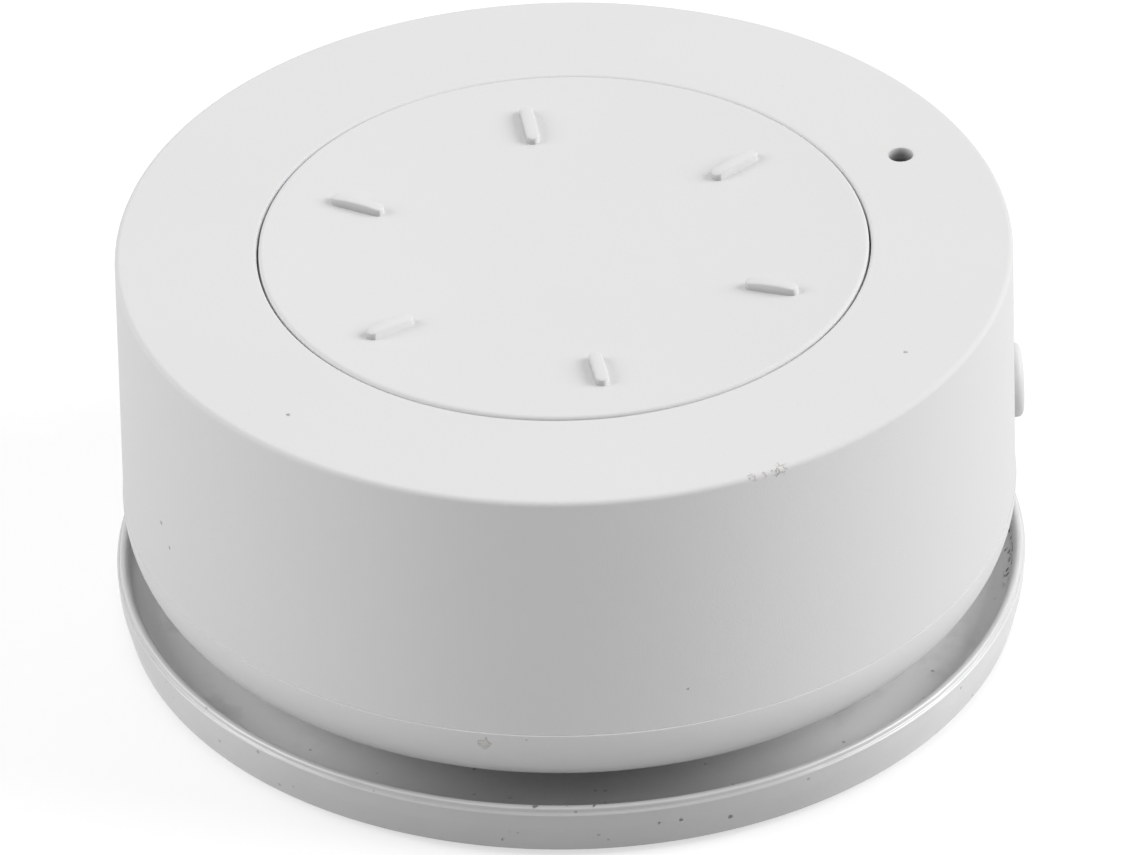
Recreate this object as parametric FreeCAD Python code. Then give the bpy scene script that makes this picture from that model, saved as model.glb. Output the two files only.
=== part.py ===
import FreeCAD, Part
import math
import os

from FreeCAD import Vector

# Wireless scene switch: a white puck that turns on a shallow cast dish, with a ribbed press
# disc in its top and a small pairing button in its side. Millimetres, +Z up, the origin in the
# middle of the face that is stuck down. The pairing button is on the +X side.

# Dish that stays on the table or wall
pad_side = 31.0
pad_thickness = 0.4
dish_height = 3.05
dish_floor = 1.1
dish_bore_over = 0.03
dish_bore_draft = 0.1
dish_bore_bevel = 0.8
dish_lip_width = 0.5
dish_lip_height = 0.28
dish_shoulder = 0.17
dish_wall_undercut = 0.4
steel_plate_inset = 0.25
steel_plate_thickness = 0.5

# Turntable that the magnets hold on the steel plate
foot_pad = (3.6, 2.6, 0.3)
foot_inset = 3.05
turntable_floor = 2.5
turntable_inset = 5.4
turntable_flange = 0.75
gear_module = 0.5
gear_rim = 0.85
pinion_teeth = 10
gear_face_width = 2.05
gear_backlash = 0.12
ring_addendum = 0.25
pressure_angle = 20.0
magnet_size = (4.0, 3.0, 2.0)
magnet_count = 6
magnet_inset = 3.35

# White housing
shell_radius = 25.0
shell_wall_height = 15.5
shell_wall = 1.6
shell_top_thickness = 1.6
top_ring_width = 8.1
cover_round = 4.85
cover_round_steps = 3
cover_ledge = 0.22
cover_stand = 0.95
cover_lip_thickness = 0.75
snap_tab = (0.75, 5.0, 1.3)
snap_tab_root = 0.4
snap_nose = (0.5, 4.0, 0.6)
snap_tab_azimuths = (45.0, 165.0, 285.0)

# Chassis with the battery bay
chassis_thickness = 1.2
chassis_rim = 1.2
hub_radius = 12.2
hub_stand = 0.7
bay_wall = 1.35
bay_roof = 0.8
board_lift = 6.5
tower_radius = 2.25
tower_inset = 3.6
tower_azimuths = (90.0, 210.0, 330.0)
boss_side = 3.3
plate_sides = 24

# Screws
screw_radius = 1.0
screw_head_radius = 1.6
screw_head_height = 1.2
screw_grip = 4.0
screw_recess_step = 1.4

# Battery and its door
cell_radius = 10.0
cell_thickness = 3.2
door_inset = 1.0
door_thickness = 1.0
door_hook = (1.2, 3.0, 1.4)
door_nose_height = 0.6
door_nose_reach = 0.6
door_twist = 30.0
coin_slot = (14.0, 1.8, 0.6)
contact_strip = 0.2
contact_width = 2.6
contact_pip = 2.0
contact_air = 0.55

# Circuit board and what is soldered to it
board_thickness = 1.2
radio_board = (15.0, 11.0, 0.8)
radio_offset = 12.7
shield_can = (11.0, 8.4, 1.6)
led_size = (0.8, 1.6, 0.8)
encoder_body = (7.0, 7.0, 4.0)
encoder_shaft_radius = 0.75
centre_switch = (6.0, 6.0, 3.5)
centre_plunger_radius = 1.7
centre_plunger_reach = 1.5
side_switch = (3.5, 6.0, 3.4)
side_plunger_radius = 1.1
side_plunger_reach = 0.8
plunger_root = 0.8

# Press disc
disc_rise = 0.1
disc_hollow = 0.8
disc_flange_height = 0.6
disc_flange_reach = 0.8
disc_post_radius = 2.2
press_travel = 0.3
rib_count = 6
rib_first_azimuth = 38.5
rib_circle_radius = 12.3
rib_length = 3.3
rib_width = 0.95
rib_height = 0.45
rib_end_slope = 0.3
rib_crown_width = 0.3

# Pairing button and indicator
pair_azimuth = 3.0
pair_height_under_top = 10.8
pair_radius = 2.1
pair_proud = 0.58
pair_flange_reach = 0.8
pair_flange_thickness = 0.95
pair_stem_radius = 1.2
indicator_azimuth = 23.3
indicator_inset = 4.26
indicator_hole_radius = 0.7
indicator_skin = 0.8
light_pipe_radius = 1.0
light_pipe_air = 0.3

# Clearances
running_gap = 0.05
slide_gap = 0.2
seat_gap = 0.1
turn_gap = 0.3
press_gap = 0.05
small_sides = 12

# Heights, worked out from the face that is stuck down
dish_base_z = pad_thickness
dish_floor_z = dish_base_z + dish_floor
dish_rim_z = dish_base_z + dish_height
plate_top_z = dish_floor_z + steel_plate_thickness
turntable_z = plate_top_z + foot_pad[2]
turntable_floor_z = turntable_z + turntable_floor
turntable_top_z = turntable_floor_z + gear_face_width
chassis_z = turntable_top_z + running_gap
chassis_top_z = chassis_z + chassis_thickness
cover_z = turntable_z + cover_stand
cover_lip_top_z = cover_z + cover_lip_thickness
seam_z = cover_z + cover_round
tab_top_z = seam_z + snap_tab[2]
top_z = seam_z + shell_wall_height
shell_ceiling_z = top_z - shell_top_thickness
board_z = chassis_top_z + board_lift
board_top_z = board_z + board_thickness
door_z = plate_top_z + hub_stand
door_top_z = door_z + door_thickness
hub_z = door_top_z + running_gap
hook_top_z = door_top_z + door_hook[2]
nose_z = hook_top_z - door_nose_height
cell_z = hook_top_z + running_gap
cell_top_z = cell_z + cell_thickness
bay_ceiling_z = cell_top_z + contact_air
bay_top_z = bay_ceiling_z + bay_roof
centre_switch_top_z = board_top_z + centre_switch[2]
centre_plunger_top_z = centre_switch_top_z + centre_plunger_reach
disc_top_z = top_z + disc_rise
disc_flange_top_z = shell_ceiling_z - seat_gap
disc_z = disc_flange_top_z - disc_flange_height
pair_z = top_z - pair_height_under_top
indicator_floor_z = top_z - indicator_skin

# Radii that follow from the housing and the fits
shell_inner_radius = shell_radius - shell_wall
disc_radius = shell_radius - top_ring_width
disc_hole_radius = disc_radius + slide_gap
disc_flange_radius = disc_hole_radius + disc_flange_reach
tower_circle_radius = shell_inner_radius - tower_inset
indicator_circle_radius = shell_radius - indicator_inset
cover_radius = shell_radius + cover_ledge
turntable_flange_radius = shell_radius - turntable_inset
turntable_radius = turntable_flange_radius - turntable_flange
cover_lip_radius = turntable_radius + slide_gap
cover_wall_radius = turntable_flange_radius + turn_gap
chassis_radius = shell_inner_radius - chassis_rim
chassis_seat_radius = chassis_radius + seat_gap
snap_tab_radius = chassis_seat_radius + running_gap + snap_tab[0] / 2
dish_bore_radius = shell_radius + dish_bore_over
steel_plate_radius = turntable_radius - steel_plate_inset
magnet_circle_radius = turntable_radius - magnet_inset
foot_circle_radius = turntable_radius - foot_inset
ring_teeth = round(2 * (turntable_radius - gear_rim) / gear_module)
ring_pitch_radius = gear_module * ring_teeth / 2
pinion_pitch_radius = gear_module * pinion_teeth / 2
gear_axis_radius = ring_pitch_radius - pinion_pitch_radius
turntable_bore_radius = hub_radius + slide_gap
bay_radius = cell_radius + slide_gap + running_gap
door_radius = hub_radius - door_inset
door_hook_radius = bay_radius - slide_gap
door_nose_radius = door_hook_radius + door_nose_reach
plus_strip_x = cell_radius + running_gap + contact_strip / 2
minus_strip_x = cell_radius / 2
pair_flange_radius = pair_radius + pair_flange_reach
pair_flange_face = math.sqrt(shell_inner_radius ** 2 - pair_flange_radius ** 2) - seat_gap
pair_flange_back = pair_flange_face - pair_flange_thickness
board_radius = pair_flange_back - press_travel - slide_gap
side_plunger_tip = board_radius + slide_gap
side_switch_face = side_plunger_tip - side_plunger_reach
UP = Vector(0, 0, 1)


def polar(radius, azimuth, z=0.0):
    angle = math.radians(azimuth)
    return Vector(radius * math.cos(angle), radius * math.sin(angle), z)


def revolved(*corners):
    """Solid of revolution about Z, from the corners (r, z) of its profile."""
    points = [Vector(radius, 0, z) for radius, z in corners + corners[:1]]
    return Part.Face(Part.makePolygon(points)).revolve(Vector(), UP, 360)


def rod(radius, low, high, x=0.0, y=0.0):
    return Part.makeCylinder(radius, high - low, Vector(x, y, low))


def prism(radius, low, high, x=0.0, y=0.0, sides=small_sides):
    """Many-sided rod; its corners lie on the radius."""
    corners = [Vector(x, y, low) + polar(radius, azimuth) for azimuth in evenly(sides)]
    return Part.Face(Part.makePolygon(corners + corners[:1])).extrude(UP * (high - low))


def well(radius, low, high, x=0.0, y=0.0):
    """Room for a rod or prism of this radius: its flats lie on the radius."""
    return prism(radius / math.cos(math.pi / small_sides), low, high, x, y)


def block(size, low, x=0.0, y=0.0):
    """Box centred on (x, y) that stands on the height low."""
    return Part.makeBox(*size, Vector(x - size[0] / 2, y - size[1] / 2, low))


def turned(shape, azimuth):
    return shape.rotated(Vector(), UP, azimuth)


def around(shape, azimuths):
    return [turned(shape, azimuth) for azimuth in azimuths]


def evenly(count, first=0.0):
    return [first + 360.0 * i / count for i in range(count)]


def pointing_out(shape):
    """Brings what was made along Z, with z as its distance from the knob's axis, to the
    pairing button's place."""
    lying = shape.rotated(Vector(), Vector(0, 1, 0), 90)
    return turned(lying.translated(UP * pair_z), pair_azimuth)


def write(node, shape):
    shape.exportStep(os.path.join("parts", node + ".step"))


def involute_angle(base_radius, radius):
    """Polar angle that the involute of a base circle has swept at a radius."""
    if radius <= base_radius:
        return 0.0
    pressure = math.acos(base_radius / radius)
    return math.tan(pressure) - pressure


def toothed_face(teeth, root_radius, tip_radius, tooth_thickness):
    """Outline of an involute wheel with a tooth pointing along +X. Each flank is the chord
    between the involute's ends, and below the base circle it runs straight in."""
    pitch_radius = gear_module * teeth / 2
    base_radius = pitch_radius * math.cos(math.radians(pressure_angle))
    start_radius = max(root_radius, base_radius)
    half_at_pitch = tooth_thickness / (2 * pitch_radius)
    corners = []
    for tooth in range(teeth):
        for side, radii in ((-1, (root_radius, start_radius, tip_radius)),
                            (1, (tip_radius, start_radius, root_radius))):
            for radius in radii:
                swept = (involute_angle(base_radius, radius)
                         - involute_angle(base_radius, pitch_radius))
                angle = 2 * math.pi * tooth / teeth + side * (half_at_pitch - swept)
                corner = Vector(radius * math.cos(angle), radius * math.sin(angle), 0)
                if not corners or corner.distanceToPoint(corners[-1]) > 1e-6:
                    corners.append(corner)
    return Part.Face(Part.makePolygon(corners + corners[:1]))


def base_dish():
    """Cast dish: drawn-in foot, sloping shoulder, flat lip and a bevelled foot of the bore."""
    lip_outer = dish_bore_radius + dish_lip_width
    shoulder_radius = lip_outer + dish_shoulder
    bore_foot = dish_bore_radius - dish_bore_draft
    return revolved(
        (0, dish_base_z), (shoulder_radius - dish_wall_undercut, dish_base_z),
        (shoulder_radius, dish_rim_z - dish_lip_height), (lip_outer, dish_rim_z),
        (dish_bore_radius, dish_rim_z), (bore_foot, dish_floor_z + dish_bore_bevel),
        (bore_foot - dish_bore_bevel, dish_floor_z), (0, dish_floor_z))


def turntable_ring():
    """Ring with an inside gear on top of its floor and a pocket under it for each magnet."""
    pitch = math.pi * gear_module
    root_radius = ring_pitch_radius + 1.2 * gear_module
    bore = toothed_face(ring_teeth, ring_pitch_radius - ring_addendum, root_radius,
                        (pitch + gear_backlash) / 2)
    bore.translate(UP * turntable_floor_z)
    flange_z = cover_lip_top_z + slide_gap
    ring = revolved((turntable_bore_radius, turntable_z), (turntable_radius, turntable_z),
                    (turntable_radius, flange_z), (turntable_flange_radius, flange_z),
                    (turntable_flange_radius, turntable_top_z),
                    (turntable_bore_radius, turntable_top_z))
    room = (magnet_size[0] + 2 * running_gap, magnet_size[1] + 2 * running_gap, magnet_size[2])
    pocket = block(room, turntable_z, magnet_circle_radius)
    return ring.cut([bore.extrude(UP * gear_face_width)] + around(pocket, evenly(magnet_count)))


def encoder_pinion():
    """Small wheel and its shaft, standing at -X with one tooth in mesh with the ring."""
    pitch = math.pi * gear_module
    face = toothed_face(pinion_teeth, pinion_pitch_radius - 1.2 * gear_module,
                        pinion_pitch_radius + gear_module, (pitch - gear_backlash) / 2)
    low = turntable_floor_z + slide_gap
    high = turntable_top_z - seat_gap
    face.translate(UP * low)
    wheel = face.extrude(UP * (high - low))
    shaft = rod(encoder_shaft_radius, high - seat_gap, board_z - seat_gap)
    return turned(wheel.fuse(shaft).removeSplitter(), 180).translated(polar(gear_axis_radius, 180))


def outer_shell():
    """Round wall and flat top ring, open for the press disc, with three screw bosses."""
    shell = revolved(
        (shell_inner_radius, seam_z), (shell_radius, seam_z),
        (shell_radius, top_z), (disc_hole_radius, top_z), (disc_hole_radius, shell_ceiling_z),
        (shell_inner_radius, shell_ceiling_z))
    boss = block((boss_side, boss_side, shell_ceiling_z - board_top_z + seat_gap), board_top_z,
                 tower_circle_radius)
    pilot = well(screw_radius, board_top_z, board_top_z + screw_grip + seat_gap,
                 tower_circle_radius)
    spot = polar(indicator_circle_radius, indicator_azimuth)
    nose_room = (2 * (snap_nose[0] + slide_gap), snap_nose[1] + 2 * slide_gap,
                 snap_nose[2] + 2 * seat_gap)
    nose_pocket = block(nose_room, tab_top_z - snap_nose[2] - seat_gap,
                        snap_tab_radius + snap_tab[0] / 2)
    holes = [
        pointing_out(rod(pair_radius + slide_gap, pair_flange_back, 2 * shell_radius)),
        rod(indicator_hole_radius, shell_ceiling_z, top_z, spot.x, spot.y),
        well(light_pipe_radius + running_gap, shell_ceiling_z, indicator_floor_z,
             spot.x, spot.y)]
    holes += around(pilot, tower_azimuths) + around(nose_pocket, snap_tab_azimuths)
    return shell.fuse(around(boss, tower_azimuths)).cut(holes).removeSplitter()


def bottom_cover():
    """Rounded foot of the housing. Its inner lip holds the turntable in, and three tabs with
    noses snap into the shell."""
    round_centre = cover_radius - cover_round
    steps = [math.radians(90.0 * i / cover_round_steps) for i in range(cover_round_steps + 1)]
    foot = [(round_centre + cover_round * math.sin(a), seam_z - cover_round * math.cos(a))
            for a in steps]
    cover = revolved(
        (cover_lip_radius, cover_z), *foot, (chassis_seat_radius, seam_z),
        (chassis_seat_radius, chassis_z), (cover_wall_radius, chassis_z),
        (cover_wall_radius, cover_lip_top_z), (cover_lip_radius, cover_lip_top_z))
    tab = block((snap_tab[0], snap_tab[1], snap_tab[2] + snap_tab_root), seam_z - snap_tab_root,
                snap_tab_radius)
    nose = block((2 * snap_nose[0], snap_nose[1], snap_nose[2]), tab_top_z - snap_nose[2],
                 snap_tab_radius + snap_tab[0] / 2)
    return cover.fuse(around(tab.fuse(nose), snap_tab_azimuths)).removeSplitter()


def strip_room(x, low, high):
    """Slot for a contact strip that passes through the bay wall or roof."""
    return block((contact_strip + 2 * seat_gap, contact_width + 2 * seat_gap, high - low), low, x)


def chassis():
    """Plate with the battery bay in its hub and three towers that carry the board. The door's
    hooks go in through notches and turn in over the ledge that is left between them."""
    plate = prism(chassis_radius, chassis_z, chassis_top_z, sides=plate_sides)
    hub = rod(hub_radius, hub_z, chassis_top_z)
    bay = rod(bay_radius + bay_wall, chassis_z, bay_top_z)
    tower = prism(tower_radius, chassis_z, board_z, tower_circle_radius)
    head_room = well(screw_head_radius + slide_gap, chassis_z, chassis_z + screw_recess_step,
                     tower_circle_radius)
    shank_room = well(screw_radius + seat_gap, chassis_z, board_z, tower_circle_radius)
    nose_corner = math.hypot(door_nose_radius, door_hook[1] / 2) + seat_gap
    half_sweep = math.radians(door_twist / 2) + math.atan2(door_hook[1] / 2, door_nose_radius)
    turn_room = block((nose_corner, 2 * nose_corner * math.sin(half_sweep) + seat_gap,
                       hook_top_z - nose_z + 2 * seat_gap), nose_z - seat_gap, nose_corner / 2)
    notch = block((nose_corner, door_hook[1] + 2 * slide_gap, hook_top_z - hub_z), hub_z,
                  nose_corner / 2)
    cuts = [rod(bay_radius, hub_z, bay_ceiling_z),
            rod(pinion_pitch_radius + gear_module + slide_gap, hub_z, chassis_z,
                -gear_axis_radius),
            well(encoder_shaft_radius + slide_gap, chassis_z, chassis_top_z, -gear_axis_radius),
            strip_room(plus_strip_x, hook_top_z, bay_top_z),
            strip_room(minus_strip_x, bay_ceiling_z, bay_top_z)]
    cuts += around(head_room, tower_azimuths) + around(shank_room, tower_azimuths)
    cuts += around(turn_room, evenly(3, door_twist / 2)) + around(notch, evenly(3, door_twist))
    return plate.fuse([hub, bay] + around(tower, tower_azimuths)).cut(cuts).removeSplitter()


def battery_door():
    """Bayonet door: three hooks turn in over the ledge of the bay, a coin turns the slot."""
    plate = rod(door_radius, door_z, door_top_z)
    hook = block((door_hook[0], door_hook[1], hook_top_z - door_z - coin_slot[2]),
                 door_z + coin_slot[2], door_hook_radius - door_hook[0] / 2)
    nose = block((2 * door_nose_reach, door_hook[1], door_nose_height), nose_z, door_hook_radius)
    slot = block(coin_slot, door_z)
    return plate.fuse(around(hook.fuse(nose), evenly(3))).cut(slot).removeSplitter()


def battery_contact_plus():
    """Spring strip that stands beside the cell and runs up to the board."""
    low = cell_z + cell_thickness / 2
    return block((contact_strip, contact_width, board_z - low), low, plus_strip_x)


def battery_contact_minus():
    """Leaf under the bay roof with a pip on the cell and a leg up to the board."""
    leaf_low = bay_ceiling_z - contact_strip
    leaf = block((2 * minus_strip_x + contact_strip, contact_width, contact_strip), leaf_low)
    leg = block((contact_strip, contact_width, board_z - leaf_low), leaf_low, minus_strip_x)
    pip_low = cell_top_z + running_gap
    pip = block((contact_pip, contact_pip, leaf_low - pip_low), pip_low)
    return leaf.fuse([leg, pip]).removeSplitter()


def circuit_board():
    board = prism(board_radius, board_z, board_top_z, sides=plate_sides)
    hole = well(screw_radius + seat_gap, board_z, board_top_z, tower_circle_radius)
    return board.cut(around(hole, tower_azimuths))


def housing_screws():
    """Three screws from below, through the towers and the board, into the shell's bosses."""
    head_low = chassis_z + screw_recess_step - screw_head_height
    head_top = chassis_z + screw_recess_step
    head = prism(screw_head_radius, head_low, head_top, tower_circle_radius)
    shank = prism(screw_radius, head_top, board_top_z + screw_grip, tower_circle_radius)
    return Part.Compound(around(head.fuse(shank), tower_azimuths))


def holding_magnets():
    magnet = block(magnet_size, turntable_z, magnet_circle_radius)
    return Part.Compound(around(magnet, evenly(magnet_count)))


def foot_pads():
    """Slippery pads between the magnets; the turntable rests on them."""
    pad = block(foot_pad, plate_top_z, foot_circle_radius)
    return Part.Compound(around(pad, evenly(magnet_count, 180.0 / magnet_count)))


def centre_switch_body():
    body = block(centre_switch, board_top_z)
    well_low = centre_switch_top_z - plunger_root - press_travel - seat_gap
    return body.cut(well(centre_plunger_radius + running_gap, well_low, centre_switch_top_z))


def side_switch_body():
    """Switch under the board whose plunger points out at the pairing button."""
    height = board_z - pair_z + side_switch[2] / 2
    size = (side_switch[0], side_switch[1], height)
    body = turned(block(size, board_z - height, side_switch_face - side_switch[0] / 2),
                  pair_azimuth)
    well_foot = side_switch_face - plunger_root - press_travel - seat_gap
    return body.cut(pointing_out(well(side_plunger_radius + running_gap, well_foot,
                                      side_switch_face)))


def press_disc():
    """Hollowed disc with six finger ribs; its flange stops under the top ring of the shell."""
    disc = revolved(
        (0, disc_z), (disc_flange_radius, disc_z), (disc_flange_radius, disc_flange_top_z),
        (disc_radius, disc_flange_top_z), (disc_radius, disc_top_z),
        (0, disc_top_z - disc_hollow))
    post_low = centre_plunger_top_z + press_gap
    post = prism(disc_post_radius, post_low, disc_z + seat_gap)
    return disc.fuse([post] + finger_ribs()).removeSplitter()


def finger_ribs():
    """Ribs along the radius, with sloping sides and ends, laid on the slope of the hollow."""
    slope = math.degrees(math.atan2(disc_hollow, disc_radius))
    middle = rib_length / 2
    flank = (rib_width - rib_crown_width) / 2
    rib = Part.makeWedge(-middle, -seat_gap, -rib_width / 2, -rib_width / 2 + flank,
                         -middle + rib_end_slope, middle, rib_height, rib_width / 2,
                         rib_width / 2 - flank, middle - rib_end_slope)
    rib.rotate(Vector(), Vector(1, 0, 0), 90)
    rib.rotate(Vector(), Vector(0, 1, 0), -slope)
    foot_z = disc_top_z - disc_hollow * (1 - rib_circle_radius / disc_radius)
    rib.translate(Vector(rib_circle_radius, 0, foot_z))
    return around(rib, evenly(rib_count, rib_first_azimuth))


def side_button():
    """Round cap with a stop flange inside the wall and a short stem for the switch."""
    stem = prism(pair_stem_radius, side_plunger_tip + press_gap, pair_flange_back)
    flange = prism(pair_flange_radius, pair_flange_back, pair_flange_face)
    cap = rod(pair_radius, pair_flange_face, shell_radius + pair_proud)
    return pointing_out(cap.fuse([flange, stem]).removeSplitter())


def light_pipe():
    spot = polar(indicator_circle_radius, indicator_azimuth)
    low = board_top_z + led_size[2] + light_pipe_air
    return prism(light_pipe_radius, low, indicator_floor_z - running_gap, spot.x, spot.y)


def status_led():
    return turned(block(led_size, board_top_z, indicator_circle_radius), indicator_azimuth)


def encoder_housing():
    body = block(encoder_body, board_z - encoder_body[2], -gear_axis_radius)
    return body.cut(well(encoder_shaft_radius + running_gap, board_z - encoder_body[2],
                         board_z, -gear_axis_radius))


def shield():
    """Thin drawn can over the radio chip, on the underside of its board."""
    wall = contact_strip
    low = board_z - radio_board[2] - shield_can[2]
    can = block(shield_can, low, 0, -radio_offset)
    inside = (shield_can[0] - 2 * wall, shield_can[1] - 2 * wall, shield_can[2] - wall)
    return can.cut(block(inside, low + wall, 0, -radio_offset))


def nodes():
    """Every piece of the switch, by node name."""
    return {
        "adhesive_pad": block((pad_side, pad_side, pad_thickness), 0),
        "base_dish": base_dish(),
        "steel_plate": prism(steel_plate_radius, dish_floor_z, plate_top_z),
        "foot_pads": foot_pads(),
        "turntable_ring": turntable_ring(),
        "holding_magnets": holding_magnets(),
        "bottom_cover": bottom_cover(),
        "chassis": chassis(),
        "housing_screws": housing_screws(),
        "outer_shell": outer_shell(),
        "battery_door": battery_door(),
        "coin_cell": rod(cell_radius, cell_z, cell_top_z),
        "battery_contact_plus": battery_contact_plus(),
        "battery_contact_minus": battery_contact_minus(),
        "circuit_board": circuit_board(),
        "radio_module": block(radio_board, board_z - radio_board[2], 0, -radio_offset),
        "shield_can": shield(),
        "encoder_body": encoder_housing(),
        "encoder_pinion": encoder_pinion(),
        "centre_switch_body": centre_switch_body(),
        "centre_switch_plunger": prism(centre_plunger_radius, centre_switch_top_z - plunger_root,
                                       centre_plunger_top_z),
        "side_switch_body": side_switch_body(),
        "side_switch_plunger": pointing_out(prism(
            side_plunger_radius, side_switch_face - plunger_root, side_plunger_tip)),
        "status_led": status_led(),
        "light_pipe": light_pipe(),
        "press_disc": press_disc(),
        "side_button": side_button(),
    }


os.makedirs("parts", exist_ok=True)
for node_name, node_shape in nodes().items():
    write(node_name, node_shape)
    print(node_name, len(node_shape.Solids), round(node_shape.Volume, 3), node_shape.isValid())
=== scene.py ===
import math

import bmesh
import bpy
import numpy as np
from mathutils import Matrix, Vector


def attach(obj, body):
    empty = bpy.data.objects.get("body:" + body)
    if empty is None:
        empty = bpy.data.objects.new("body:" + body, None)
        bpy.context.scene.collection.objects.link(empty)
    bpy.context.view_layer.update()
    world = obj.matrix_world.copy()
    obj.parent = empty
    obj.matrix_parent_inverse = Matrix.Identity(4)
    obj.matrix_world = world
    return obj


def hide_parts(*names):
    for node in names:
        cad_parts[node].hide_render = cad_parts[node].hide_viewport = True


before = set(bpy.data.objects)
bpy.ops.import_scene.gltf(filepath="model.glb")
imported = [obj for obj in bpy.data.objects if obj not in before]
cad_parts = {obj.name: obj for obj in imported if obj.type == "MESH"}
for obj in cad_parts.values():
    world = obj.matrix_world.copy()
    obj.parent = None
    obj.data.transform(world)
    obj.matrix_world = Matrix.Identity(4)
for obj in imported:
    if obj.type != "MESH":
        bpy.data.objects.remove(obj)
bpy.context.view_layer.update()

# Cast dish. One die casting in aluminium with a thin pale grey coat: a flat lip with a fine
# groove under it, a drawn-in foot, and a rounded corner where the bore meets the floor. It is
# stuck down, and its cast skin has pits, rubbed edges and a little dirt in the corner.
MM = 0.001


def rounded(corners, pitch=0.6, arc_steps=7):
    """Closed profile from corners (r, z, round). A corner becomes an arc of its round: the two
    tangent points turn about the arc's centre by spherical interpolation. Straight runs are
    divided evenly, and beside a round they get one more point at a distance of hold, so that
    the flat keeps its shading. Gives the points and the index at which each corner starts."""
    ends, hold = [], 0.04
    for i, (r, z, radius) in enumerate(corners):
        here = np.array((r, z), float)
        back = np.array(corners[i - 1][:2]) - here
        on = np.array(corners[(i + 1) % len(corners)][:2]) - here
        if radius == 0:
            ends.append(here[None])
            continue
        back, on = back / np.linalg.norm(back), on / np.linalg.norm(on)
        half = math.acos(np.clip(back @ on, -1, 1)) / 2
        middle = (back + on) / np.linalg.norm(back + on)
        centre = here + middle * radius / math.sin(half)
        first = here + back * radius / math.tan(half) - centre
        last = here + on * radius / math.tan(half) - centre
        sweep = math.pi - 2 * half
        t = np.linspace(0, 1, arc_steps + 1)[:, None]
        ends.append(centre + (np.sin((1 - t) * sweep) * first + np.sin(t * sweep) * last)
                    / math.sin(sweep))
    runs, starts, total = [], [], 0
    for i, arc in enumerate(ends):
        goal = ends[(i + 1) % len(ends)][0]
        length = np.linalg.norm(goal - arc[-1])
        parts = np.linspace(0, 1, max(1, math.ceil(length / pitch)) + 1)[1:-1]
        near = hold / max(length, 1e-9)
        roomy = near < 0.2
        if roomy and corners[i][2]:
            parts = np.append(parts, near)
        if roomy and corners[(i + 1) % len(ends)][2]:
            parts = np.append(parts, 1 - near)
        parts = np.sort(parts)[:, None]
        runs.append(np.vstack([arc, arc[-1] + (goal - arc[-1]) * parts]))
        starts.append(total)
        total += len(runs[-1])
    return np.vstack(runs), starts


def lathe(profile, turns=360, shift=None):
    """Point (r, z) of the profile at azimuth a is (r cos a, r sin a, z). shift gives what is
    added to (r, z) from the azimuth and the profile, as a waviness."""
    a = np.radians(np.arange(turns) * 360.0 / turns)[:, None]
    r, z = profile[:, 0] + 0 * a, profile[:, 1] + 0 * a
    if shift is not None:
        dr, dz = shift(a, r, z)
        r, z = r + dr, z + dz
    return np.stack([r * np.cos(a), r * np.sin(a), z], axis=2)


def grid_faces(rows, columns, offset=0):
    """Quads of a grid that is closed both ways, as indices into its flattened points."""
    i, j = np.meshgrid(np.arange(rows), np.arange(columns), indexing="ij")
    k, m = (i + 1) % rows, (j + 1) % columns
    quads = np.stack([i * columns + j, k * columns + j, k * columns + m, i * columns + m], axis=2)
    return quads + offset


def piece(name, points, faces, crease=40.0):
    """Makes the object from points in millimetres. Points that fall together, as at a pole,
    are merged, the normals are turned outwards, and edges sharper than crease stay sharp."""
    mesh = bpy.data.meshes.new(name)
    mesh.from_pydata((np.reshape(points, (-1, 3)) * MM).tolist(), [],
                     [list(map(int, face)) for face in faces])
    work = bmesh.new()
    work.from_mesh(mesh)
    bmesh.ops.remove_doubles(work, verts=work.verts, dist=2e-7)
    bmesh.ops.recalc_face_normals(work, faces=work.faces)
    for face in work.faces:
        face.smooth = True
    work.to_mesh(mesh)
    work.free()
    mesh.set_sharp_from_angle(angle=math.radians(crease))
    made = bpy.data.objects.new(name, mesh)
    bpy.context.scene.collection.objects.link(made)
    return made


def turned(name, profile, turns=360, shift=None, crease=40.0):
    """A closed profile turned about Z and made into a piece."""
    grid = lathe(profile, turns, shift)
    return piece(name, grid, grid_faces(*grid.shape[:2]).reshape(-1, 4), crease)


class Wire:
    """One output socket. Sums, products and powers of wires add Math nodes."""

    def __init__(self, finish, socket):
        self.finish, self.socket = finish, socket

    def math(self, operation, *values):
        return self.finish.add("ShaderNodeMath", {"operation": operation},
                               dict(enumerate(values)))

    def __add__(self, other):
        return self.math("ADD", self, other)

    def __sub__(self, other):
        return self.math("SUBTRACT", self, other)

    def __mul__(self, other):
        return self.math("MULTIPLY", self, other)

    def __pow__(self, other):
        return self.math("POWER", self, other)

    __radd__, __rmul__ = __add__, __mul__


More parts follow.
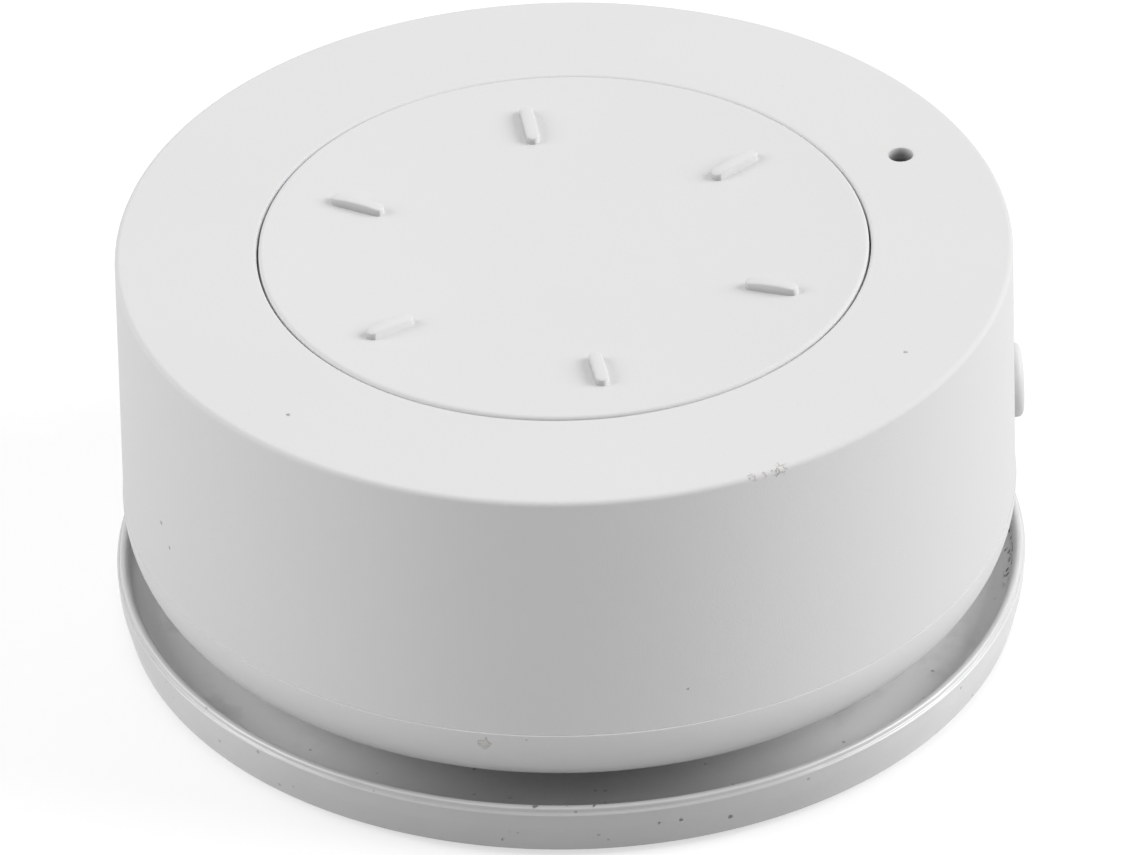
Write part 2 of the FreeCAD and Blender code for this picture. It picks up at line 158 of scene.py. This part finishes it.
class Finish:
    """A procedural material whose patterns lie in the piece's own Object coordinates."""

    def __init__(self, name, **sockets):
        self.material = bpy.data.materials.new(name)
        self.material.use_nodes = True
        self.tree = self.material.node_tree
        self.shader = self.tree.nodes["Principled BSDF"]
        for label, value in sockets.items():
            self.shader.inputs[label.replace("_", " ")].default_value = value
        self.place = self.add("ShaderNodeTexCoord", {}, {}, "Object")

    def add(self, kind, settings, sockets, output=0):
        """Any node: its settings are set first, then its sockets get values or links."""
        node = self.tree.nodes.new(kind)
        for key, value in settings.items():
            setattr(node, key, value)
        for key, value in sockets.items():
            if isinstance(value, Wire):
                self.tree.links.new(value.socket, node.inputs[key])
            else:
                node.inputs[key].default_value = value
        return Wire(self, node.outputs[output])

    def feed(self, label, wire):
        self.tree.links.new(wire.socket, self.shader.inputs[label])

    def noise(self, scale, detail=2.0, roughness=0.5, place=None):
        return self.add("ShaderNodeTexNoise", {}, {
            "Vector": place or self.place, "Scale": scale, "Detail": detail,
            "Roughness": roughness})

    def cells(self, scale):
        return self.add("ShaderNodeTexVoronoi", {}, {"Vector": self.place, "Scale": scale})

    def stretched(self, along):
        """Object coordinates scaled by a vector, for grain that runs one way."""
        return self.add("ShaderNodeVectorMath", {"operation": "MULTIPLY"},
                        {0: self.place, 1: along})

    def parts(self, vector):
        """The X, Y and Z of a vector."""
        node = self.add("ShaderNodeSeparateXYZ", {}, {0: vector})
        return [Wire(self, out) for out in node.socket.node.outputs]

    def axes(self):
        return self.parts(self.place)

    def facing(self):
        """Which way the surface faces: the parts of its normal in Object coordinates."""
        return self.parts(self.add("ShaderNodeTexCoord", {}, {}, "Normal"))

    def step(self, value, low, high, to_low=0.0, to_high=1.0):
        """Smooth ramp of a value from low to high."""
        return self.add("ShaderNodeMapRange", {"interpolation_type": "SMOOTHSTEP"}, {
            "Value": value, "From Min": low, "From Max": high,
            "To Min": to_low, "To Max": to_high})

    def blend(self, share, first, second):
        """Colour between two, by a share from 0 to 1."""
        return self.add("ShaderNodeMix", {"data_type": "RGBA"},
                        {0: share, 6: first, 7: second}, 2)

    def spot(self, x, y, z, radius, ragged):
        """1 inside a small mark at a place in millimetres. A noise, or a plain 0.5, makes its
        edge uneven: it lies at about 0.6 of the radius."""
        gap = self.add("ShaderNodeVectorMath", {"operation": "DISTANCE"},
                       {0: self.place, 1: (x * MM, y * MM, z * MM)}, "Value")
        gap = gap + ragged * (3 * radius * MM)
        return self.step(gap, 1.95 * radius * MM, 2.25 * radius * MM, 1.0, 0.0)

    def relief(self, height, depth):
        """Bump whose height wire is worth depth millimetres."""
        self.feed("Normal", self.add("ShaderNodeBump", {}, {
            "Strength": 1.0, "Distance": depth * MM, "Height": height}))


def grey(level, warm=0.0):
    """Grey colour, tipped a little towards warm."""
    return (level * (1 + warm), level, level * (1 - warm), 1.0)


def cast_finish():
    """Thin coat on a casting: faintly mottled, fine grain, streaks of the flow on the floor, a
    rubbed lip with a few nicks, dirt in the corner on the right, painted shade at the front and
    on the floor in front, and painted light on the right."""
    coat = Finish("cast_coat", Metallic=0.12, IOR=1.5)
    x, y, z = coat.axes()
    out = (x * x + y * y) ** 0.5
    mottle = coat.noise(160, 4, 0.6)
    grain = coat.noise(4200, 3, 0.6)
    pits = coat.step(coat.cells(750), 0.05, 0.1, 1.0, 0.0)
    streak = coat.noise(260, 4, 0.6, coat.stretched((1.0, 1.0, 0.2)))
    lip = coat.step(z, 3.3 * MM, 3.42 * MM)
    floor = coat.step(z, 2.6 * MM, 1.7 * MM) * coat.step(out, 25.0 * MM, 24.9 * MM)
    corner = (coat.step(z, 3.1 * MM, 2.7 * MM) * coat.step(x, 0.0, 20.0 * MM)
              * coat.step(y, -4.0 * MM, -2.0 * MM) * coat.step(y, 9.5 * MM, 7.5 * MM)
              * coat.step(out, 24.4 * MM, 24.6 * MM) * coat.step(out, 25.05 * MM, 25.0 * MM)
              * coat.step(z, 1.2 * MM, 1.3 * MM))  # inside the bore only, above the underside
    dirt = (coat.step(coat.cells(2600), 0.38, 0.5, 1.0, 0.0)
            * coat.step(coat.noise(700, 2), 0.3, 0.44) * corner)
    # Painted shade and light: the coat is darker towards the front and lighter towards the right.
    painted_shade_ramp = coat.step(y, -25.6 * MM, -15.0 * MM)
    tone = coat.blend(painted_shade_ramp, grey(0.53), coat.blend(coat.step(x, -20 * MM, 20 * MM),
                                                    grey(0.7), grey(0.77)))
    tone = coat.blend(coat.step(mottle, 0.35, 0.75) * 0.12, tone, grey(0.4))
    # Painted shade: the floor inside the bore is dark in front, under the knob, and pale at the
    # sides.
    floor_painted_shade = coat.blend(painted_shade_ramp, grey(0.24), grey(0.95))
    floor_painted_shade = coat.blend(coat.step(streak, 0.5, 0.7) * painted_shade_ramp * 0.35, floor_painted_shade, grey(0.6))
    tone = coat.blend(floor, tone, floor_painted_shade)
    tone = coat.blend(pits * 0.5, tone, grey(0.2))
    tone = coat.blend(lip * 0.4, tone, grey(0.76))
    ragged, nick_radius = coat.noise(3000, 3, 0.7), 0.2
    nicks = 0.0
    for place in ((0.9, -25.2, 3.42), (-2.3, -25.2, 3.42), (5.7, -25.05, 2.1), (4.4, -25.3, 2.1),
                  (-1.7, -25.5, 0.9), (-4.2, -25.2, 1.1), (8.4, -24.1, 1.6), (3.1, -23.6, 1.5)):
        nicks = nicks + coat.spot(*place, nick_radius, ragged)
    tone = coat.blend(nicks * 0.75, tone, grey(0.1, 0.05))
    tone = coat.blend(dirt * 0.8, tone, grey(0.1, 0.1))
    coat.feed("Base Color", tone)
    coat.feed("Roughness", 0.34 + 0.12 * mottle + 0.3 * dirt)
    coat.relief(grain * 0.6 + mottle * 0.4 - pits * 1.5 - nicks * 4.0, 0.015)
    return coat.material


def dish_wave(a, r, z):
    """The cast rim isn't true: slow waves of a few hundredths in the shoulder below the lip,
    and finer ones in the groove."""
    slow = 0.022 * np.sin(5 * a + 0.4) + 0.016 * np.sin(11 * a + 1.9)
    fine = 0.012 * np.sin(29 * a + 2.2) + 0.009 * np.sin(47 * a + 0.7) + 0.006 * np.sin(83 * a)
    groove_out, groove_width, groove_low = 25.56, 0.07, 2.6
    groove = np.exp(-((r - groove_out) / groove_width) ** 2) * (z > groove_low)
    return (slow + fine) * groove, -0.5 * np.abs(fine) * groove


dish_under, dish_floor = 0.4, 1.5
dish_profile, _ = rounded([
    (0, dish_under, 0), (25.24, dish_under, 0.12), (25.62, 2.0, 3.0), (25.685, 3.06, 0.09),
    (25.6, 3.14, 0.03), (25.57, 3.12, 0.02), (25.52, 3.18, 0.05), (25.5, 3.44, 0.12),
    (25.0, 3.45, 0.34), (24.93, dish_floor, 1.4), (0, dish_floor, 0)], pitch=0.5)
dish = turned("dish_casting", dish_profile, 480, dish_wave, 50)
dish.data.materials.append(cast_finish())
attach(dish, "dish")
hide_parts("base_dish")

# Foam pad and steel plate. A square of double-sided foam tape holds the dish down, and a
# stamped galvanised sheet, bonded to the dish's floor, is what the knob's magnets hold to.


def dress(material, *nodes):
    """A CAD piece keeps its form and gets its finish."""
    for node in nodes:
        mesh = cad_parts[node].data
        mesh.materials.clear()
        mesh.materials.append(material)


def foam_finish():
    foam = Finish("foam_tape", Roughness=0.95)
    cells = foam.cells(2600)
    foam.feed("Base Color", foam.blend(foam.step(cells, 0.1, 0.6), grey(0.05), grey(0.13)))
    foam.relief(cells, 0.08)
    return foam.material


def sheet_finish(name, level, warm=0.0, roughness=0.34, spangle=260.0):
    """Rolled and plated sheet: fine lines along X, cloudy crystals of the plating."""
    sheet = Finish(name, Metallic=1.0)
    lines = sheet.noise(700, 3, 0.6, sheet.stretched((0.4, 14.0, 4.0)))
    cloud = sheet.cells(spangle)
    sheet.feed("Base Color", sheet.blend(sheet.step(cloud, 0.0, 0.8),
                                         grey(level * 0.86, warm), grey(level, warm)))
    sheet.feed("Roughness", roughness + 0.12 * lines)
    sheet.relief(lines, 0.006)
    return sheet.material


dress(foam_finish(), "adhesive_pad")
plate_out, plate_top = 18.6, 2.0
plate_profile, _ = rounded([(0, dish_floor, 0), (plate_out, dish_floor, 0),
                            (plate_out, plate_top, 0.12), (0, plate_top, 0)])
plate = turned("round_plate", plate_profile, 240)
plate.data.materials.append(sheet_finish("galvanised", 0.58))
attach(plate, "dish")
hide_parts("steel_plate")

# White housing. Wall and flat top ring in one moulding of matte white plastic, with a fine
# spark-eroded skin, softened edges, a round hole for the pairing button and a small one over
# the light pipe. The wall draws in by 0.12 mm towards the top so that it leaves the mould.


def white_finish(name, marks=(), ribs=None, depth=None):
    """Matte moulded skin: very fine grain, faint clouding, a few specks of dirt. On a ribbed disc
    the flanks of the ribs that don't face up or right get painted shade, more so at their foot.
    Inside a fine hole, painted shade darkens its depth."""
    skin = Finish(name, IOR=1.46, Specular_IOR_Level=0.15)
    cloud = skin.noise(60, 3, 0.5)
    grain = skin.noise(7000, 2, 0.6)
    dust = skin.step(skin.cells(430), 0.0, 0.035, 1.0, 0.0)
    tone = skin.blend(cloud, grey(0.775, 0.002), grey(0.805, 0.002))
    tone = skin.blend(dust * 0.25, tone, grey(0.45, 0.03))
    ragged = skin.noise(3200, 3, 0.7)
    for x, y, z, radius, level in marks:
        mark = skin.spot(x, y, z, radius, ragged)
        tone = skin.blend(mark * 0.8, tone, grey(level, 0.03))
        grain = grain - mark * 5.5
    if ribs:
        x, y, z = skin.axes()
        above = z - ribs(x, y)
        turned = skin.facing()
        # Painted shade on the rib flanks that face neither up nor right, darkest at their foot.
        rib_flank_painted_shade = (skin.step(turned[2], 0.85, 0.3) * skin.step(turned[0], 0.55, 0.2)
                 * skin.step(above, -0.1 * MM, 0.0))
        tone = skin.blend(rib_flank_painted_shade * skin.step(above, 0.0, 0.5 * MM, 1.0, 0.45), tone, grey(0.5))
    # Painted shade: the depth of the light pipe's hole is painted dark.
    if depth:
        tone = skin.blend(skin.spot(*depth, 0.5) * 0.7, tone, grey(0.16))
    skin.feed("Base Color", tone)
    skin.feed("Roughness", 0.56 + 0.08 * cloud)
    skin.relief(grain, 0.008)
    return skin.material


def hole_loop(rows, columns):
    """Grid places round the edge of a block of cells, in order."""
    return ([(i, columns[0]) for i in rows[:-1]] + [(rows[-1], j) for j in columns[:-1]]
            + [(i, columns[-1]) for i in rows[:0:-1]] + [(rows[0], j) for j in columns[:0:-1]])


def pierce(grid, points, rows, outer, inner, centre, axis, heights, steps):
    """Round hole through a lathed wall. The block of cells between rows and columns is taken
    out on both faces, and rings lead from the block's edge to the hole: each ring keeps the
    polar angle of the edge's points about the axis and has the next radius. A step is
    (face, radius, depth under that face), and heights gives each face's place along the axis
    from the two distances across it."""
    turns, columns = grid.shape[:2]
    axis = np.array(axis) / np.linalg.norm(axis)
    side = np.cross((0, 0, 1) if abs(axis[2]) < 0.5 else (1, 0, 0), axis)
    side = side / np.linalg.norm(side)
    rise = np.cross(axis, side)
    edges = [hole_loop(rows, list(part)) for part in (outer, inner)]
    edge_points = [np.array([grid[i, j] for i, j in edge]) for edge in edges]
    across = [[(p - centre) @ way for p in edge_points] for way in (side, rise)]
    angle = [np.arctan2(across[1][k], across[0][k]) for k in (0, 1)]
    reach = [np.hypot(across[0][k], across[1][k]) for k in (0, 1)]

    def ring(face, radius, turn, depth):
        s, t = radius * np.cos(turn), radius * np.sin(turn)
        along = heights[face](s, t) - depth * (1 if face == 0 else -1)
        return centre + s[:, None] * side + t[:, None] * rise + along[:, None] * axis

    between = (0.35, 0.7)
    rings = [ring(0, reach[0] + (steps[0][1] - reach[0]) * f, angle[0], 0) for f in between]
    rings += [ring(face, radius, angle[face], depth) for face, radius, depth in steps]
    rings += [ring(1, steps[-1][1] + (reach[1] - steps[-1][1]) * f, angle[1], 0)
              for f in between]
    gone = np.zeros((turns, columns), bool)
    for part in (outer, inner):
        low = min(part)
        gone[np.ix_(rows[:-1], range(low, low + len(part) - 1))] = True
    count = len(edges[0])
    first = len(points)
    numbers = [np.array([i * columns + j for i, j in edges[0]])]
    numbers += [first + k * count + np.arange(count) for k in range(len(rings))]
    numbers += [np.array([i * columns + j for i, j in edges[1]])]
    extra = [np.stack([a, np.roll(a, -1), np.roll(b, -1), b], axis=1)
             for a, b in zip(numbers, numbers[1:])]
    return gone, np.vstack([points] + rings), np.vstack(extra)


seam, shell_top, ceiling = 8.1, 23.6, 22.0
wall_foot, wall_draft, shell_in = 25.12, 0.12 / 15.5, 23.4
ring_in, ring_middle, ring_out = 17.1, 19.2, 22.3
pair_z, pair_turn, pair_hole, pair_round, pair_cells = 12.8, 3, 2.3, 0.13, 7
pair_low, pair_high = 9.9, 15.7
light_turn, light_out, light_hole, light_round = 23.3, 20.74, 0.7, 0.06
light_cells, light_land, light_bore = range(20, 28), 0.8, 1.08


def wall_out(z):
    """Radius of the wall, which draws in from the seam to the top."""
    return wall_foot - (z - seam) * wall_draft


def keep(faces, gone):
    """The grid's quads without those of the cells that a hole took out."""
    return faces[~np.any(gone, axis=0)].reshape(-1, 4)


def hole_steps(radius, bend):
    """Steps of a hole's rounded edge in the outer face, from the face into the hole."""
    return [(0, radius + bend * (1 - math.sin(t)), bend * (1 - math.cos(t)))
            for t in np.radians((0, 22, 45, 68, 90))]


shell_profile, at = rounded([
    (shell_in, seam, 0), (wall_foot, seam, 0.03), (wall_out(pair_low), pair_low, 0),
    (wall_out(pair_high), pair_high, 0), (25.0, shell_top, 0.3), (ring_out, shell_top, 0),
    (ring_middle, shell_top, 0), (ring_in, shell_top, 0.2), (ring_in, ceiling, 0.1),
    (ring_middle, ceiling, 0), (ring_out, ceiling, 0), (shell_in, ceiling, 0),
    (shell_in, pair_high, 0), (shell_in, pair_low, 0)])
shell_grid = lathe(shell_profile)
pair_angle, light_angle = math.radians(pair_turn), math.radians(light_turn)
pair_gone, shell_points, pair_faces = pierce(
    shell_grid, shell_grid.reshape(-1, 3),
    [i % 360 for i in range(pair_turn - pair_cells, pair_turn + pair_cells + 1)],
    range(at[2], at[3] + 1), range(at[13], at[12] - 1, -1), np.array((0, 0, pair_z)),
    (math.cos(pair_angle), math.sin(pair_angle), 0),
    (lambda s, t: np.sqrt(wall_out(pair_z + t) ** 2 - s ** 2),
     lambda s, t: np.sqrt(shell_in ** 2 - s ** 2)),
    hole_steps(pair_hole, pair_round) + [(1, pair_hole, 0)])
light_gone, shell_points, light_faces = pierce(
    shell_grid, shell_points, list(light_cells), range(at[6], at[5] - 1, -1),
    range(at[9], at[10] + 1),
    np.array((light_out * math.cos(light_angle), light_out * math.sin(light_angle), 0)),
    (0, 0, 1), (lambda s, t: shell_top + 0 * s, lambda s, t: ceiling + 0 * s),
    hole_steps(light_hole, light_round)
    + [(1, light_hole, light_land), (1, light_bore, light_land), (1, light_bore, 0)])
shell_faces = np.vstack([keep(grid_faces(*shell_grid.shape[:2]), (pair_gone, light_gone)),
                         pair_faces, light_faces])
shell = piece("housing_shell", shell_points, shell_faces)

# x, y, z, radius and grey level of each mark: specks on the top, chips in its front edge, and
# specks and a scuff low in the wall. depth gives x, y, z and radius of the painted shade inside
# the light pipe's hole.
white = white_finish("white_housing", (
    (-13.8, 3.2, 23.6, 0.14, 0.4), (-15.3, -16.0, 23.6, 0.16, 0.35),
    (-3.3, -16.2, 23.65, 0.18, 0.1), (18.6, -11.4, 23.6, 0.14, 0.45),
    (15.3, 7.5, 23.6, 0.12, 0.45), (11.45, -22.15, 23.5, 0.44, 0.8),
    (11.2, -22.3, 23.4, 0.3, 0.6), (10.55, -22.65, 23.45, 0.22, 0.78),
    (9.9, -22.9, 23.45, 0.28, 0.76), (-22.6, -10.7, 12.9, 0.15, 0.4),
    (-22.2, -11.6, 11.8, 0.14, 0.4), (-2.7, -25.1, 7.8, 0.18, 0.3),
    (-7.7, -24.0, 8.2, 0.14, 0.35), (6.2, -24.3, 10.5, 0.12, 0.4),
    (-5.0, -24.7, 7.4, 0.44, 0.68)), depth=(19.05, 8.2, 22.5, 1.9))
shell.data.materials.append(white)
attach(shell, "knob")
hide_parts("outer_shell")

# Foot of the housing. A second moulding below the seam, a trifle wider than the wall, so that a
# fine ledge shows there; it rounds in to the lip that holds the turntable.


def ledge_wave(a, r, z):
    """The two mouldings don't meet quite true: slow waves of two hundredths in the ledge."""
    near = np.exp(-((z - seam) / 0.25) ** 2) * (r > 25)
    return 0.018 * np.sin(3 * a + 1.0) * near + 0.008 * np.sin(17 * a) * near, 0 * a * r


foot_out, foot_under, lip_in, lip_top, foot_bore = 25.18, 3.25, 19.05, 4.0, 19.9
seat_in, seat_z = 22.3, 6.9
foot_profile, _ = rounded([
    (lip_in, foot_under, 0.08), (foot_out, foot_under, 4.8), (foot_out, seam, 0.03),
    (seat_in, seam, 0), (seat_in, seat_z, 0), (foot_bore, seat_z, 0), (foot_bore, lip_top, 0),
    (lip_in, lip_top, 0.08)], arc_steps=20)
foot = turned("housing_foot", foot_profile, 360, ledge_wave)
foot.data.materials.append(white)
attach(foot, "knob")
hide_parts("bottom_cover")

# Press disc. A hollowed disc with a flange that stops under the top ring, and six short ribs
# for the finger: bars with round ends, steep sides and a soft shoulder.
disc_top, hollow, disc_out = 23.7, 0.8, 16.99
skirt_out, skirt_top, flange_out, flange_under, flange_top = 17.06, 23.0, 17.9, 21.3, 21.9
ribs, rib_ring, rib_first = 6, 12.35, 38.2


def disc_height(radius):
    """Spherical hollow, as a parabola: deepest in the middle, level with the rim at the edge."""
    return disc_top - hollow * (1 - (radius / disc_out) ** 2)


def rib_surface(length=3.15, width=0.78, height=0.58, around=72):
    """Closed bar: outline points of a pill are drawn in towards the nearest point of its middle
    line by a factor, and each factor has its height, from the buried foot up a steep side,
    round a shoulder (sine and cosine of its bend) and along the low crown. Towards its ends it
    falls off with the cube of the distance from its middle."""
    half, end, buried = (length - width) / 2, width / 2, -0.3
    t = np.linspace(0, 2 * np.pi, around, endpoint=False)
    nose = np.where(np.cos(t) >= 0, half, -half) * np.clip(np.abs(np.cos(t)) * 6, 0, 1)
    pill = np.stack([nose + end * np.cos(t), end * np.sin(t)], axis=1)
    spine = np.stack([nose, 0 * nose], axis=1)
    bend = np.radians(np.linspace(0, 90, 8))
    draw = np.concatenate([[1.0, 1.0], 0.94 - 0.4 * (1 - np.cos(bend)), [0.3, 0.1, 0.0]])
    lift = np.concatenate([[buried, 0.0], 0.72 + 0.24 * np.sin(bend), [0.99, 1.0, 1.0]])
    rings = spine[None] + (pill - spine)[None] * draw[:, None, None]
    fall = 1 - 0.3 * np.abs(2 * rings[:, :, 0] / length) ** 3
    return np.dstack([rings, np.where(lift < 0, lift, lift * height)[:, None] * fall])


disc_edge = np.linspace(0, disc_out - 0.3, 40)
disc_profile, _ = rounded([
    (0, flange_under, 0), (flange_out, flange_under, 0.05), (flange_out, flange_top, 0.05),
    (skirt_out, flange_top, 0), (skirt_out, skirt_top, 0), (disc_out, skirt_top + 0.1, 0),
    (disc_out, disc_top, 0.2)] + [(r, disc_height(r), 0) for r in disc_edge[::-1]])
disc_grid = lathe(disc_profile)
points, rib_feet = [disc_grid.reshape(-1, 3)], []
faces = [grid_faces(*disc_grid.shape[:2]).reshape(-1, 4)]
rib = rib_surface()
levels, around = rib.shape[:2]
lean = 2 * hollow * rib_ring / disc_out ** 2
lie = np.array(Matrix.Rotation(-math.atan(lean), 3, "Y"))
laid = rib.reshape(-1, 3) @ lie.T + (rib_ring, 0, disc_height(rib_ring))
for k in range(ribs):
    swing = np.array(Matrix.Rotation(math.radians(rib_first + 360 / ribs * k), 3, "Z"))
    start = len(points[0]) + k * levels * around
    points.append(laid @ swing.T)
    faces.append(grid_faces(levels, around, start)[:-1].reshape(-1, 4))
    rib_feet.append(range(start, start + around))
disc = piece("press_disc_ribbed", np.vstack(points), np.vstack(faces).tolist() + rib_feet)
# The disc's hollow height is passed in for the painted shade on the rib flanks.
disc.data.materials.append(white_finish("white_disc", (), lambda x, y: (
    (x * x + y * y) * (hollow / disc_out ** 2 / MM) + (disc_top - hollow) * MM)))
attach(disc, "disc")
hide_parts("press_disc")

# Pairing button. A small turned-looking cap with a rounded edge, its stop flange and its stem,
# moulded in the same white and pushed out from inside.
stem_out, stem_end, stop_out, stop_back, stop_front = 1.2, 21.92, 2.9, 22.17, 23.12
cap_out, cap_face = 2.1, 25.58
button_profile, _ = rounded([
    (0, stem_end, 0), (stem_out, stem_end, 0), (stem_out, stop_back, 0), (stop_out, stop_back, 0),
    (stop_out, stop_front, 0), (cap_out, stop_front, 0), (cap_out, cap_face, 0.35),
    (0, cap_face, 0)], pitch=0.3)
button_grid = lathe(button_profile, 120) @ np.array(Matrix.Rotation(math.pi / 2, 3, "Y")).T
button_grid = (button_grid + (0, 0, pair_z)) @ np.array(Matrix.Rotation(pair_angle, 3, "Z")).T
button = piece("pairing_cap", button_grid,
               grid_faces(*button_grid.shape[:2]).reshape(-1, 4))
button.data.materials.append(white)
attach(button, "pairing_button")
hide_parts("side_button")

# Light pipe and lamp. A frosted acrylic rod stands under the indicator hole and brings up the
# light of the small lamp on the board; its dark grey is painted shade down the hole.


def rod_painted_shade_finish():
    frost = Finish("rod_painted_shade", IOR=1.49)
    haze = frost.noise(2200, 3, 0.6)
    # Painted shade: the rod is dark grey, as the shade down the hole, not its own pale colour.
    frost.feed("Base Color", frost.blend(haze, grey(0.16), grey(0.24)))
    frost.feed("Roughness", 0.3 + 0.3 * haze)
    frost.relief(haze, 0.01)
    return frost.material


def lamp_finish():
    """Clear resin over a yellow phosphor, in a white cup."""
    lamp = Finish("lamp_resin", Roughness=0.2, Coat_Weight=0.4)
    phosphor = (0.75, 0.6, 0.12, 1)
    top = lamp.step(lamp.axes()[2], 16.3 * MM, 16.5 * MM)
    lamp.feed("Base Color", lamp.blend(top * lamp.noise(3000), grey(0.8), phosphor))
    return lamp.material


dress(rod_painted_shade_finish(), "light_pipe")
dress(lamp_finish(), "status_led")

# Turntable, chassis and door. Grey mouldings inside the knob: the turntable is held on the
# plate by its magnets, rests there on slippery pads and stays still while the knob turns.


def moulded_finish(name, level, warm=0.0, roughness=0.5):
    """Inside moulding: visible flow clouds and a coarser skin than the housing's."""
    skin = Finish(name, IOR=1.48)
    flow = skin.noise(110, 4, 0.6, skin.stretched((1.0, 1.0, 0.3)))
    grain = skin.noise(4200, 2, 0.6)
    skin.feed("Base Color", skin.blend(flow, grey(level * 0.92, warm), grey(level, warm)))
    skin.feed("Roughness", roughness + 0.12 * grain)
    skin.relief(grain, 0.012)
    return skin.material


dress(moulded_finish("grey_moulding", 0.52), "turntable_ring", "chassis", "battery_door")
dress(moulded_finish("slippery_pad", 0.72, 0.01, 0.35), "foot_pads")
dress(moulded_finish("acetal_wheel", 0.68, 0.015, 0.38), "encoder_pinion",
      "centre_switch_plunger", "side_switch_plunger")
dress(moulded_finish("black_housing", 0.035, 0.0, 0.45), "encoder_body", "centre_switch_body",
      "side_switch_body")

# Magnets, screws, cell, contacts and can. Nickel-plated blocks in the turntable, three dark
# zinc-plated screws, a satin coin cell, tinned spring strips and a tinned can on the board.
dress(sheet_finish("nickel_plate", 0.72, 0.03, 0.14, 900.0), "holding_magnets")
dress(sheet_finish("dark_zinc", 0.27, 0.0, 0.3, 1500.0), "housing_screws")
dress(sheet_finish("cell_can", 0.7, 0.01, 0.26, 500.0), "coin_cell")
dress(sheet_finish("tinned_strip", 0.66, 0.05, 0.28, 1200.0), "battery_contact_plus",
      "battery_contact_minus")
dress(sheet_finish("tin_plate", 0.68, 0.01, 0.24, 700.0), "shield_can")

# Circuit boards. Glass-fibre laminate under a green solder mask; the tracks show through as
# slightly lighter, raised lines, and the weave as a faint change of gloss.


def board_finish():
    board = Finish("solder_mask", Coat_Weight=0.3, IOR=1.52)
    x, pitch = board.axes()[0], 2300.0
    tracks = (board.step(x.math("SINE", x * pitch), 0.8, 0.9)
              * board.step(board.noise(160, 1, 0.4), 0.5, 0.52))
    weave = board.noise(1800, 2, 0.5, board.stretched((1.0, 0.4, 0.4)))
    green = board.blend(tracks, (0.012, 0.085, 0.035, 1), (0.03, 0.16, 0.07, 1))
    board.feed("Base Color", green)
    board.feed("Roughness", 0.25 + 0.2 * weave)
    board.relief(tracks * 0.8 + weave * 0.2, 0.03)
    return board.material


dress(board_finish(), "circuit_board", "radio_module")

# Pale seamless ground and plain soft light: a broad lamp on each side, the right one stronger,
# a weak one behind, and an even sky, so that the front of the wall is the darkest of the white.
# The sky is a mid grey as a light, and white to the camera, in gloss and through glass.


def ground_finish():
    """Pale paper. To the camera and in gloss it glows, so that the lit paper is white, and it
    keeps the object's shadow."""
    paper = Finish("paper", Roughness=0.9)
    paper.feed("Base Color", paper.blend(paper.noise(30), grey(0.49), grey(0.51)))
    seen = paper.add("ShaderNodeLightPath", {}, {})
    outs = seen.socket.node.outputs
    glow = (Wire(paper, outs["Is Camera Ray"]) + Wire(paper, outs["Is Glossy Ray"])
            + Wire(paper, outs["Is Transmission Ray"]))
    paper.shader.inputs["Emission Strength"].default_value = 1.0
    paper.feed("Emission Color", paper.blend(glow, grey(0.0), grey(0.6)))
    return paper.material


ground_half, ground_z = 3, -0.02 * MM
paper_mesh = bpy.data.meshes.new("ground")
paper_mesh.from_pydata([(x * ground_half, y * ground_half, ground_z)
                        for x, y in ((-1, -1), (1, -1), (1, 1), (-1, 1))], [], [(0, 1, 2, 3)])
paper_mesh.materials.append(ground_finish())
ground = bpy.data.objects.new("ground", paper_mesh)
bpy.context.scene.collection.objects.link(ground)

world = bpy.data.worlds.new("even_sky")
bpy.context.scene.world = world
world.use_nodes = True
sky = world.node_tree.nodes
rays, join = sky.new("ShaderNodeLightPath"), sky.new("ShaderNodeMix")
join.data_type = "RGBA"
join.inputs[6].default_value, join.inputs[7].default_value = grey(0.41), grey(1.0)
shown, seen = sky.new("ShaderNodeMath"), sky.new("ShaderNodeMath")
for node, ray in ((shown, "Is Glossy Ray"), (seen, "Is Transmission Ray")):
    node.operation = "ADD"
    world.node_tree.links.new(rays.outputs[ray], node.inputs[0])
world.node_tree.links.new(rays.outputs["Is Camera Ray"], shown.inputs[1])
world.node_tree.links.new(shown.outputs[0], seen.inputs[1])
world.node_tree.links.new(seen.outputs[0], join.inputs[0])
world.node_tree.links.new(join.outputs[2], sky["Background"].inputs["Color"])

for name, azimuth, height, watts, size in (
        ("right_lamp", -1, 32, 6.8, 0.7), ("left_lamp", 184, 32, 4.5, 0.7),
        ("back_lamp", 80, 50, 0.6, 0.6)):
    lamp = bpy.data.lights.new(name, "AREA")
    lamp.shape, lamp.size, lamp.energy = "DISK", size, watts
    stand = bpy.data.objects.new(name, lamp)
    a, h = math.radians(azimuth), math.radians(height)
    stand.location = Vector((math.cos(a) * math.cos(h), math.sin(a) * math.cos(h), math.sin(h)))
    stand.rotation_euler = stand.location.to_track_quat("Z", "Y").to_euler()
    bpy.context.scene.collection.objects.link(stand)

# Camera of the photograph: a long lens 34 degrees above the table, leaning by 1.4 degrees. Its
# place and aim are in metres, and its focal length in pixels of the photograph.
sensor_width, focal_pixels, picture_width = 36.0, 12581.34, 1140
camera_place, aim = Vector((0, -0.580742, 0.414418)), Vector((0.000106, -0.001175, 0.012))
camera_lean = -0.02442
view = bpy.data.cameras.new("camera")
view.sensor_width, view.sensor_fit = sensor_width, "HORIZONTAL"
view.lens = sensor_width * focal_pixels / picture_width
view.clip_start, view.clip_end = 0.01, 20
camera = bpy.data.objects.new("camera", view)
facing = (aim - camera_place).to_track_quat("-Z", "Y").to_matrix()
camera.matrix_world = (Matrix.Translation(camera_place)
                       @ (facing @ Matrix.Rotation(camera_lean, 3, "Z")).to_4x4())
bpy.context.scene.collection.objects.link(camera)
bpy.context.scene.camera = camera
bpy.context.scene.view_settings.view_transform = "Standard"
